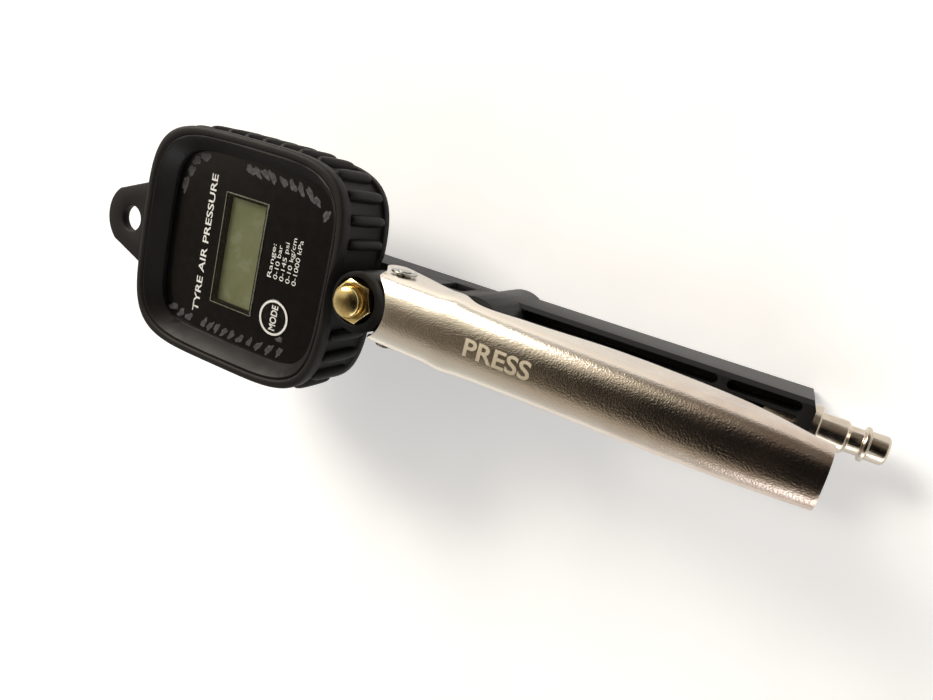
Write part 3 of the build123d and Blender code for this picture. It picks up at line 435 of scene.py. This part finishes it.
# ---- Boot ---------------------------------------------------------------------------------
# Soft rubber cover moulded in one piece: rounded-square wall, rolled lip in front, round-ended
# grip ribs and a hang tab.  Mould release leaves a brownish-grey bloom on the lip.
boot_low, boot_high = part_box("boot")
gauge_x = 80.35
lip_half = (48.0, 44.2)
lip_power = 4.4
lip_top = 1000 * boot_high[2]
boot_back = 1000 * boot_low[2]
dip = (gauge_x - lip_half[0] + 2.3 - 38.0, 38.0)


def rounded_square(turn, half_x, half_y, power):
    """|x/a|^n + |y/b|^n = 1, walked by angle, about the gauge's centre."""
    x = half_x * np.sign(np.cos(turn)) * np.abs(np.cos(turn)) ** (2 / power)
    y = half_y * np.sign(np.sin(turn)) * np.abs(np.sin(turn)) ** (2 / power)
    return gauge_x + x, y


def swept_square(name, profile, finish, turns=288, half=lip_half, power=lip_power, hollow=True):
    """Profile of (inset, height) carried round the rounded square, hollowed beside the boss."""
    inset, height = np.array(profile, float).T
    turn = (np.arange(turns) + 0.5) / turns * 2 * np.pi
    # even steps along the outline: walk it finely and take equal shares of its length
    fine = np.linspace(0, 2 * np.pi, 4001)
    fx, fy = rounded_square(fine, *half, power)
    run = np.concatenate([[0], np.cumsum(np.hypot(np.diff(fx), np.diff(fy)))])
    turn = np.interp(turn / (2 * np.pi) * run[-1], run, fine)
    x, y = rounded_square(turn[:, None], half[0] - inset[None, :], half[1] - inset[None, :], power)
    z = np.broadcast_to(height[None, :], x.shape)
    if hollow:
        edge = dip[0] + np.sqrt(np.clip(dip[1] ** 2 - y**2, 0, None))
        soft = 0.35
        near = (np.abs(y) < dip[1]) & (x < gauge_x) & (inset[None, :] < 3.0)
        x = np.where(near, soft * np.logaddexp(x / soft, edge / soft), x)
    return grid_mesh(name, np.stack([x, y, z], -1), finish, wrap_u=True, wrap_v=True)


boot_rubber, tree, shader, coords = new_finish("moulded boot rubber", Specular_IOR_Level=0.22)
bloom = mottle(tree, shader, coords, 0.3, ("#080707", "#0f0e0d"), (0.5, 0.66), 0.03)
patch = add_node(tree, "ShaderNodeTexNoise", {"Vector": coords, "Scale": 70.0, "Detail": 5.0})
split = add_node(tree, "ShaderNodeSeparateXYZ", {"Vector": coords})
near_lip = add_node(tree, "ShaderNodeMapRange",
                    {"Value": split.outputs["Z"], "From Min": 0.059, "From Max": 0.0655})
dusty = add_node(tree, "ShaderNodeMath", {0: near_lip.outputs["Result"], 1: patch.outputs["Fac"]},
                 operation="MULTIPLY")
dusted = add_node(tree, "ShaderNodeMix", {"Factor": dusty.outputs["Value"],
                                          "A": bloom.outputs["Result"], "B": linear("#23201e")},
                  data_type="RGBA")
tree.links.new(dusted.outputs["Result"], shader.inputs["Base Color"])

t, b = lip_top, boot_back
boot = swept_square("boot_shell", [
    (3.12, 61.0), (3.1, t - 1.2), (2.95, t - 0.5), (2.55, t - 0.12), (2.0, t), (1.2, t),
    (0.55, t - 0.15),
    (0.15, t - 0.55), (0.0, t - 1.2), (0.0, t - 4.3), (0.15, t - 4.8), (0.6, t - 5.1), (1.1, t - 5.3),
    (1.2, t - 5.6), (1.2, b + 4.4), (1.1, b + 4.0), (0.5, b + 3.7), (0.0, b + 3.5), (-0.17, b + 3.0),
    (-0.17, b + 0.7), (0.05, b + 0.2), (0.6, b), (1.5, b), (4.0, b), (10.0, b), (20.0, b), (30.0, b),
    (31.5, b + 0.1), (31.8, b + 0.5), (31.8, b + 2.0), (31.5, b + 2.4), (30.0, b + 2.4),
    (20.0, b + 2.4),
    (10.0, b + 2.4), (4.0, b + 2.4), (3.2, b + 2.5), (3.12, b + 2.8)], boot_rubber)
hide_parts("boot")
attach(boot, "tool")


def signed_power(value, exponent):
    """|value|^exponent with value's sign, as in a super-ellipse."""
    return np.sign(value) * np.abs(value) ** exponent


def grip_ribs(pitch=8.5, width=4.4, stand=2.9, finish=boot_rubber):
    """Super-ellipsoid bars, |n|^2.4 across and |z|^5 along, set at even steps round the wall."""
    half_x, half_y = lip_half[0] - 1.2, lip_half[1] - 1.2
    fine = np.linspace(0, 2 * np.pi, 4001)
    fx, fy = rounded_square(fine, half_x, half_y, lip_power)
    run = np.concatenate([[0], np.cumsum(np.hypot(np.diff(fx), np.diff(fy)))])
    count = int(run[-1] // pitch)
    at = (np.arange(count) + 0.5) / count * run[-1]
    cx, cy = np.interp(at, run, fx), np.interp(at, run, fy)
    ahead, astern = (at + 0.5) % run[-1], (at - 0.5) % run[-1]
    tx = np.interp(ahead, run, fx) - np.interp(astern, run, fx)
    ty = np.interp(ahead, run, fy) - np.interp(astern, run, fy)
    size = np.hypot(tx, ty)
    tx, ty = tx / size, ty / size
    behind_tab = (cx > gauge_x + half_x - 4) & (np.abs(cy) < 20)
    beside_boss = (cx < gauge_x - half_x + 4) & (np.abs(cy) < 14)
    keep = ~(behind_tab | beside_boss)
    cx, cy, tx, ty = cx[keep], cy[keep], tx[keep], ty[keep]
    rise = np.linspace(-np.pi / 2, np.pi / 2, 21)
    round_ = np.arange(24) / 24 * 2 * np.pi
    across = width / 2 * signed_power(np.cos(rise), 0.4)[:, None] * signed_power(np.cos(round_), 0.8)
    out = stand * signed_power(np.cos(rise), 0.4)[:, None] * signed_power(np.sin(round_), 0.8)
    low, high = boot_back + 4.2, lip_top - 5.5
    along = (high - low) / 2 * signed_power(np.sin(rise), 0.5)[:, None] * np.ones_like(round_)
    vertices, faces = [], []
    patch_index = np.arange(21 * 24).reshape(21, 24)
    wrapped = np.hstack([patch_index, patch_index[:, :1]])
    quads = np.stack([wrapped[:-1, :-1], wrapped[1:, :-1], wrapped[1:, 1:], wrapped[:-1, 1:]], -1)
    for i in range(len(cx)):
        normal = np.array([ty[i], -tx[i]])
        px = cx[i] + across * tx[i] + out * normal[0]
        py = cy[i] + across * ty[i] + out * normal[1]
        pz = (low + high) / 2 + along
        vertices.append(np.stack([px, py, pz], -1).reshape(-1, 3))
        faces.append(quads.reshape(-1, 4) + i * 21 * 24)
    mesh = bpy.data.meshes.new("boot_grip_ribs")
    mesh.from_pydata((np.vstack(vertices) / 1000).tolist(), [], np.vstack(faces).tolist())
    work = bmesh.new()
    work.from_mesh(mesh)
    bmesh.ops.remove_doubles(work, verts=work.verts, dist=2e-6)
    bmesh.ops.recalc_face_normals(work, faces=work.faces)
    work.to_mesh(mesh)
    work.free()
    mesh.materials.append(finish)
    mesh.shade_smooth()
    piece = bpy.data.objects.new("boot_grip_ribs", mesh)
    bpy.context.collection.objects.link(piece)
    return piece


ribs = grip_ribs()
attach(ribs, "tool")


def hang_tab(hole_radius=5.1, end_radius=13.7, thickness=3.6, drop=3.4, root_half=19.0):
    """Plate between the hole and an outline of end arc, straight flanks and root, edges rolled."""
    hole_x = 1000 * boot_high[0] - end_radius
    root = gauge_x + lip_half[0] - 3.0 - hole_x
    turn = (np.arange(240) + 0.5) / 240 * 2 * np.pi
    shoulder = np.array([0.62, 0.785]) * end_radius
    flank = np.array([root - shoulder[0], root_half - shoulder[1]])
    flank_normal = np.array([-flank[1], flank[0]]) / np.hypot(*flank)
    flank_normal *= np.sign(flank_normal @ shoulder)
    reach = flank_normal @ shoulder
    direction = np.stack([np.cos(turn), np.abs(np.sin(turn))], -1)
    to_flank = reach / np.clip(direction @ flank_normal, 1e-3, None)
    to_root = np.where(np.cos(turn) < 0, root / np.clip(np.cos(turn), None, -1e-3), 1e3)
    on_arc = np.cos(turn) > shoulder[0] / end_radius
    outline = np.where(on_arc, end_radius, np.minimum(to_flank, to_root))
    top = lip_top - drop
    low = top - thickness
    r = 0.7
    profile = [(0.0, low + r, 0), (0.2, low + 0.2, 0), (r, low, 0), (0.5, low, 0.5), (-r, low, 1),
               (-0.2, low + 0.2, 1), (0.0, low + r, 1), (0.0, top - r, 1), (-0.2, top - 0.2, 1),
               (-r, top, 1), (0.5, top, 0.5), (r, top, 0), (0.2, top - 0.2, 0), (0.0, top - r, 0)]
    rings = []
    for shift, height, share in profile:
        radius = hole_radius + (outline - hole_radius) * share + (0 if share == 0.5 else shift)
        rings.append(np.stack([hole_x + radius * np.cos(turn), radius * np.sin(turn),
                               np.full_like(turn, height)], -1))
    return grid_mesh("boot_hang_tab", np.array(rings), boot_rubber, wrap_u=True, wrap_v=True)


tab = hang_tab()
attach(tab, "tool")

# ---- Gauge case -----------------------------------------------------------------------------
# Two halves of black ABS.  The front half's bezel slopes in to the face and has the fine
# matt texture of the mould, with a warmer tone than the rubber round it.
case_abs, tree, shader, coords = new_finish("textured ABS", Specular_IOR_Level=0.25)
mottle(tree, shader, coords, 0.3, ("#0d0a09", "#15110f"), (0.4, 0.54), 0.03)
front = edged_copy("front_case", "front_case_bezel", case_abs, 0.35, "tool")
back = edged_copy("back_case", "back_case_shell", case_abs, 0.3, "tool")
for node in ("battery_door", "mode_switch"):
    dress(node, case_abs)

# ---- Inside the case ---------------------------------------------------------------------------
# Soldered board, steel sensor can and shrink-wrapped cells; none of them shows from outside.
solder_mask, tree, shader, coords = new_finish("solder mask on laminate")
mottle(tree, shader, coords, 2.0, ("#0c3a1c", "#14532a"), (0.3, 0.45), 0.02)
dress("circuit_board", solder_mask)
steel_can, tree, shader, coords = new_finish("deep-drawn steel", Metallic=1.0)
mottle(tree, shader, coords, 1.0, ("#8c8d90", "#b0b1b4"), (0.25, 0.4), 0.004)
dress("pressure_sensor", steel_can)
cell_wrap, tree, shader, coords = new_finish("shrink-wrapped cell")
mottle(tree, shader, coords, 6.0, ("#26282c", "#3a3d42"), (0.25, 0.4), 0.01)
dress("batteries", cell_wrap)

# ---- Face film ----------------------------------------------------------------------------------
# Polyester film printed black from behind and stuck to the case.  It is glossy, ripples a
# little, and shows grey streaks near its edges where the glue hasn't wetted out.
glossy_film, tree, shader, coords = new_finish("printed polyester film", Coat_Weight=0.35,
                                               Coat_Roughness=0.05, Specular_IOR_Level=0.45)
ripple = add_node(tree, "ShaderNodeTexNoise", {"Vector": coords, "Scale": 45.0, "Detail": 2.0})
ripple_bump = add_node(tree, "ShaderNodeBump", {"Height": ripple.outputs["Fac"], "Distance": 0.0002,
                                                "Strength": 0.6})
haze = add_node(tree, "ShaderNodeTexNoise", {"Vector": coords, "Scale": 260.0, "Detail": 6.0,
                                             "Roughness": 0.7})
film_tone = add_node(tree, "ShaderNodeMix", {"Factor": haze.outputs["Fac"], "A": linear("#060607"),
                                             "B": linear("#0e0e10")}, data_type="RGBA")
film_dull = add_node(tree, "ShaderNodeMapRange", {"Value": haze.outputs["Fac"], "To Min": 0.1,
                                                  "To Max": 0.3})
tree.links.new(film_tone.outputs["Result"], shader.inputs["Base Color"])
tree.links.new(film_dull.outputs["Result"], shader.inputs["Roughness"])
tree.links.new(ripple_bump.outputs["Normal"], shader.inputs["Normal"])
dress("face_film", glossy_film)
film_top = 1000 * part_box("face_film")[1][2]
film_half = (39.65, 35.6)

# Grey streaks of dry glue: thin flat patches, each (x, y, length, width, angle) from the centre
dry_glue, tree, shader, coords = new_finish("dry glue under film", Coat_Weight=0.5,
                                            Coat_Roughness=0.08)
mottle(tree, shader, coords, 1.2, ("#3c3c40", "#5c5c60"), (0.3, 0.45), 0.01)
streaks = np.array([
    (35.5, -20.0, 7.0, 3.0, 80), (33.5, -25.5, 5.0, 3.4, 70), (31.5, -30.0, 4.5, 3.0, 40),
    (27.0, -32.5, 5.5, 3.0, 10), (4.0, -32.6, 5.0, 2.6, -35), (0.5, -32.4, 5.5, 2.4, -40),
    (-3.5, -32.6, 5.0, 2.6, -30), (-7.0, -32.3, 5.6, 2.5, -45), (-12.5, -31.8, 4.8, 2.4, -30),
    (-17.0, -31.4, 5.2, 2.4, -45), (-21.0, -31.0, 5.5, 2.3, -60), (-25.5, -30.2, 6.5, 2.2, -50),
    (-29.0, -28.5, 4.5, 2.2, -40), (-34.2, -24.5, 4.4, 2.8, 70),
    (32.5, 30.5, 5.5, 2.6, 20), (28.0, 31.8, 5.0, 2.4, 50), (23.5, 32.2, 4.6, 2.6, 30),
    (15.0, 32.0, 5.0, 2.2, 60), (11.5, 32.4, 5.2, 2.0, 50), (8.0, 32.2, 4.6, 2.2, 65),
    (4.0, 32.6, 5.0, 2.0, 50), (0.0, 32.4, 4.8, 2.2, 60), (-4.5, 32.6, 5.0, 2.2, 45),
    (-9.5, 32.2, 4.4, 2.0, 60), (-14.0, 32.4, 5.0, 2.2, 45), (-19.5, 32.0, 5.4, 2.4, 55),
    (-24.5, 31.4, 4.6, 2.2, 65), (-23.5, 26.5, 3.4, 2.0, 20)])


def glue_patches():
    """Flat lens-shaped blobs with a wavy outline, all in one mesh just above the film."""
    turn = np.arange(28) / 28 * 2 * np.pi
    vertices, faces = [], []
    for i, (x, y, length, width, angle) in enumerate(streaks):
        wobble = 1 + 0.16 * np.sin(3 * turn + i) + 0.10 * np.sin(5 * turn + 2 * i)
        along = length / 2 * np.cos(turn) * wobble
        across = width / 2 * np.sin(turn) * wobble
        a = np.radians(angle)
        px = gauge_x + x + along * np.cos(a) - across * np.sin(a)
        py = y + along * np.sin(a) + across * np.cos(a)
        # kept on the film
        px = np.clip(px, gauge_x - film_half[0] + 0.8, gauge_x + film_half[0] - 0.8)
        py = np.clip(py, -film_half[1] + 0.8, film_half[1] - 0.8)
        vertices.append(np.stack([px, py, np.full_like(px, film_top + 0.012)], -1))
        faces.append((np.arange(28) + 28 * i).tolist())
    mesh = bpy.data.meshes.new("dry_glue_streaks")
    mesh.from_pydata((np.vstack(vertices) / 1000).tolist(), [], faces)
    mesh.materials.append(dry_glue)
    piece = bpy.data.objects.new("dry_glue_streaks", mesh)
    bpy.context.collection.objects.link(piece)
    return piece


glue = glue_patches()
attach(glue, "tool")

# White screen print: plain words for what the gauge reads, its ranges and the button's word.
# It reads from the +Y side to the -Y side, with the letters' tops towards the hang tab.
white_ink, tree, shader, coords = new_finish("white screen ink")
mottle(tree, shader, coords, 0.4, ("#d9d9d6", "#f4f4f1"), (0.4, 0.55), 0.004)


def printed(name, words, cap_mm, x, y_start, length_mm, height, body, bold=0.0):
    """Flat lettering with its baseline at x, running from y_start towards -Y."""
    def lay(share, up):
        return x + up * cap_mm, y_start - share * length_mm, np.full_like(up, height)

    place_words(name, flat_words(name, words, bold, 6), lay, white_ink, body)


ink = film_top + 0.02
printed("print_title", "TYRE AIR PRESSURE", 3.0, 99.6, 28.8, 56.0, ink, "tool", bold=0.012)
for row, (words, length) in enumerate((("Range:", 13.0), ("0-10 bar", 13.2), ("0-145 psi", 15.0),
                                       ("0-10 kg/cm", 17.5), ("0-1000 kPa", 17.4))):
    printed(f"print_range_{row}", words, 1.95, 66.0 - 3.0 * row, 4.4, length, ink, "tool", bold=0.0)

# ---- Button -------------------------------------------------------------------------------
# Domed part of the same film over its own cap, with a printed ring and word.
button_film, tree, shader, coords = new_finish("button film", Coat_Weight=0.35, Coat_Roughness=0.05)
mottle(tree, shader, coords, 2.0, ("#070708", "#101012"), (0.15, 0.3), 0.01)
dress("mode_button", button_film)
button_low, button_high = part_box("mode_button")
button_x = 500 * (button_low[0] + button_high[0])
button_y = 500 * (button_low[1] + button_high[1])
button_top = 1000 * button_high[2] + 0.012


def ring_print(inner, outer):
    """Flat annulus between two radii."""
    turn = np.arange(96) / 96 * 2 * np.pi
    rings = np.stack([np.stack([button_x + r * np.cos(turn), button_y + r * np.sin(turn),
                                np.full_like(turn, button_top)], -1) for r in (inner, outer)])
    return grid_mesh("print_button_ring", rings, white_ink, wrap_v=True)


ring = ring_print(6.0, 6.9)
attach(ring, "mode_button")
printed("print_button_word", "MODE", 2.9, button_x - 1.45, button_y + 4.9, 9.8, button_top,
        "mode_button", bold=0.02)

# ---- Display ---------------------------------------------------------------------------------
# Reflective liquid crystal behind a clear acrylic window that stands a little proud of the
# film.  The switched-off glass is an even olive grey with a thin dark line round its cell.
lens_acrylic, tree, shader, coords = new_finish("clear acrylic", Transmission_Weight=1.0, IOR=1.49,
                                                Roughness=0.02)
scuffs = add_node(tree, "ShaderNodeTexNoise", {"Vector": coords, "Scale": 300.0, "Detail": 5.0})
scuff_dull = add_node(tree, "ShaderNodeMapRange", {"Value": scuffs.outputs["Fac"], "From Min": 0.45,
                                                   "From Max": 0.75, "To Min": 0.01, "To Max": 0.12})
tree.links.new(scuff_dull.outputs["Result"], shader.inputs["Roughness"])
shader.inputs["Base Color"].default_value = linear("#f4f6ee")
dress("window_lens", lens_acrylic)
lcd_glass, tree, shader, coords = new_finish("reflective liquid crystal", Specular_IOR_Level=0.5)
mottle(tree, shader, coords, 9.0, ("#aeb08f", "#b9bb9c"), (0.2, 0.3), 0.002)
dress("lcd_module", lcd_glass)


def rectangle_line(name, node, inset, width, lift, finish):
    """Flat line of a given width, set in from the box of a node and just above its top."""
    low, high = 1000 * np.array(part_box(node))
    corners = np.array([[1, 1], [-1, 1], [-1, -1], [1, -1]])
    middle, half = (low + high)[:2] / 2, (high - low)[:2] / 2
    loops = [np.column_stack([middle + corners * (half - d), np.full(4, high[2] + lift)])
             for d in (inset, inset + width)]
    line = grid_mesh(name, np.stack(loops), finish, wrap_v=True)
    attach(line, "tool")


# Dark seal line round the liquid crystal, and a pale strip on the lens's edge: a painted highlight for
# the light its polished edge catches
seal_line, tree, shader, coords = new_finish("crystal seal")
mottle(tree, shader, coords, 1.0, ("#4b4c38", "#5a5b45"), (0.3, 0.4), 0.002)
rectangle_line("display_seal_line", "lcd_module", 2.6, 0.35, 0.01, seal_line)
# Painted highlight: an opaque pale grey strip over the clear lens's rim, in place of the light on its
# bevel
painted_rim_highlight, tree, shader, coords = new_finish("painted lens edge highlight", Specular_IOR_Level=0.6)
mottle(tree, shader, coords, 0.8, ("#5d6054", "#8a8d7d"), (0.15, 0.25), 0.004)
rectangle_line("painted_lens_rim_highlight", "window_lens", 0.1, 0.35, 0.01, painted_rim_highlight)

# ---- Floor, light and camera ---------------------------------------------------------------
# Plain pale floor, a big soft key light and a smaller window beyond the gauge's -Y side, a
# cooler fill opposite, and a room-like sky: pale low down, warm at the window, dark overhead.
floor_paint, tree, shader, coords = new_finish("pale floor")
mottle(tree, shader, coords, 40.0, ("#f0f1f3", "#f5f6f8"), (0.65, 0.75), 0.0)
shader.inputs["Emission Color"].default_value = linear("#ffffff")
shader.inputs["Emission Strength"].default_value = 0.3
floor_mesh = bpy.data.meshes.new("floor")
floor_mesh.from_pydata([(-4, -4, 0), (4, -4, 0), (4, 4, 0), (-4, 4, 0)], [], [(0, 1, 2, 3)])
floor_mesh.materials.append(floor_paint)
floor = bpy.data.objects.new("floor", floor_mesh)
bpy.context.collection.objects.link(floor)

world = bpy.data.worlds.new("studio")
bpy.context.scene.world = world
world.use_nodes = True
sky = world.node_tree
direction = add_node(sky, "ShaderNodeTexCoord").outputs["Generated"]
level = add_node(sky, "ShaderNodeSeparateXYZ", {"Vector": direction}).outputs["Z"]
horizon = add_node(sky, "ShaderNodeMapRange", {"Value": level, "From Min": 0.1, "From Max": 0.8})
shell = add_node(sky, "ShaderNodeMix", {"Factor": horizon.outputs["Result"], "A": linear("#dcdbd9"),
                                        "B": linear("#b3a794")}, data_type="RGBA")


def sky_patch(behind, toward, start, full, shade):
    """Blends a soft round patch of one shade into the sky, by the cosine from its centre."""
    near = add_node(sky, "ShaderNodeVectorMath", {0: direction, 1: tuple(Vector(toward).normalized())},
                    operation="DOT_PRODUCT")
    share = add_node(sky, "ShaderNodeMapRange", {"Value": near.outputs["Value"], "From Min": start,
                                                 "From Max": full}, interpolation_type="SMOOTHSTEP")
    return add_node(sky, "ShaderNodeMix", {"Factor": share.outputs["Result"],
                                           "A": behind.outputs["Result"], "B": linear(shade)},
                    data_type="RGBA")


dim = sky_patch(shell, (-0.15, -0.72, 0.68), 0.72, 0.94, "#756b60")
shade = sky_patch(dim, (0.55, 0.08, 0.84), 0.87, 0.97, "#5c5142")
warm = sky_patch(shade, (0.68, -0.46, 0.57), 0.82, 0.93, "#fff6e2")
dark = sky_patch(warm, (-0.17, 0.04, 0.98), 0.71, 0.91, "#050303")
sky.nodes["Background"].inputs["Strength"].default_value = 1.0
sky.links.new(dark.outputs["Result"], sky.nodes["Background"].inputs["Color"])


def soft_light(name, place, aim, size, watts, shade):
    """Rectangular area light at place, turned to face aim."""
    data = bpy.data.lights.new(name, "AREA")
    data.shape = "RECTANGLE"
    data.size, data.size_y = size
    data.energy = watts
    data.color = linear(shade)[:3]
    light = bpy.data.objects.new(name, data)
    bpy.context.collection.objects.link(light)
    light.location = place
    light.rotation_euler = (Vector(aim) - Vector(place)).to_track_quat("-Z", "Y").to_euler()
    return light


soft_light("key", (1.5, -1.25, 1.1), (0.0, 0.0, 0.05), (1.1, 0.8), 36, "#fff9f2")
soft_light("window", (0.95, -0.72, 0.95), (0.0, 0.0, 0.05), (0.5, 0.35), 7, "#fff3df")
soft_light("fill", (-0.9, 1.6, 0.9), (0.0, 0.0, 0.05), (1.6, 1.0), 14, "#eef1f6")

camera_data = bpy.data.cameras.new("camera")
camera_data.sensor_width = 36.0
camera_data.lens = 27.01
camera_data.clip_start = 0.01
camera = bpy.data.objects.new("camera", camera_data)
bpy.context.collection.objects.link(camera)
right, up, back = (-0.86990865, -0.24250924, -0.42947434), (0.32239345, -0.93857626, -0.12303279), (
    -0.37325783, -0.245487, 0.894659)
camera.matrix_world = Matrix([[right[i], up[i], back[i], (-0.1080, -0.05347, 0.26867)[i]]
                              for i in range(3)] + [[0, 0, 0, 1]])
bpy.context.scene.camera = camera
bpy.context.scene.view_settings.view_transform = "Standard"
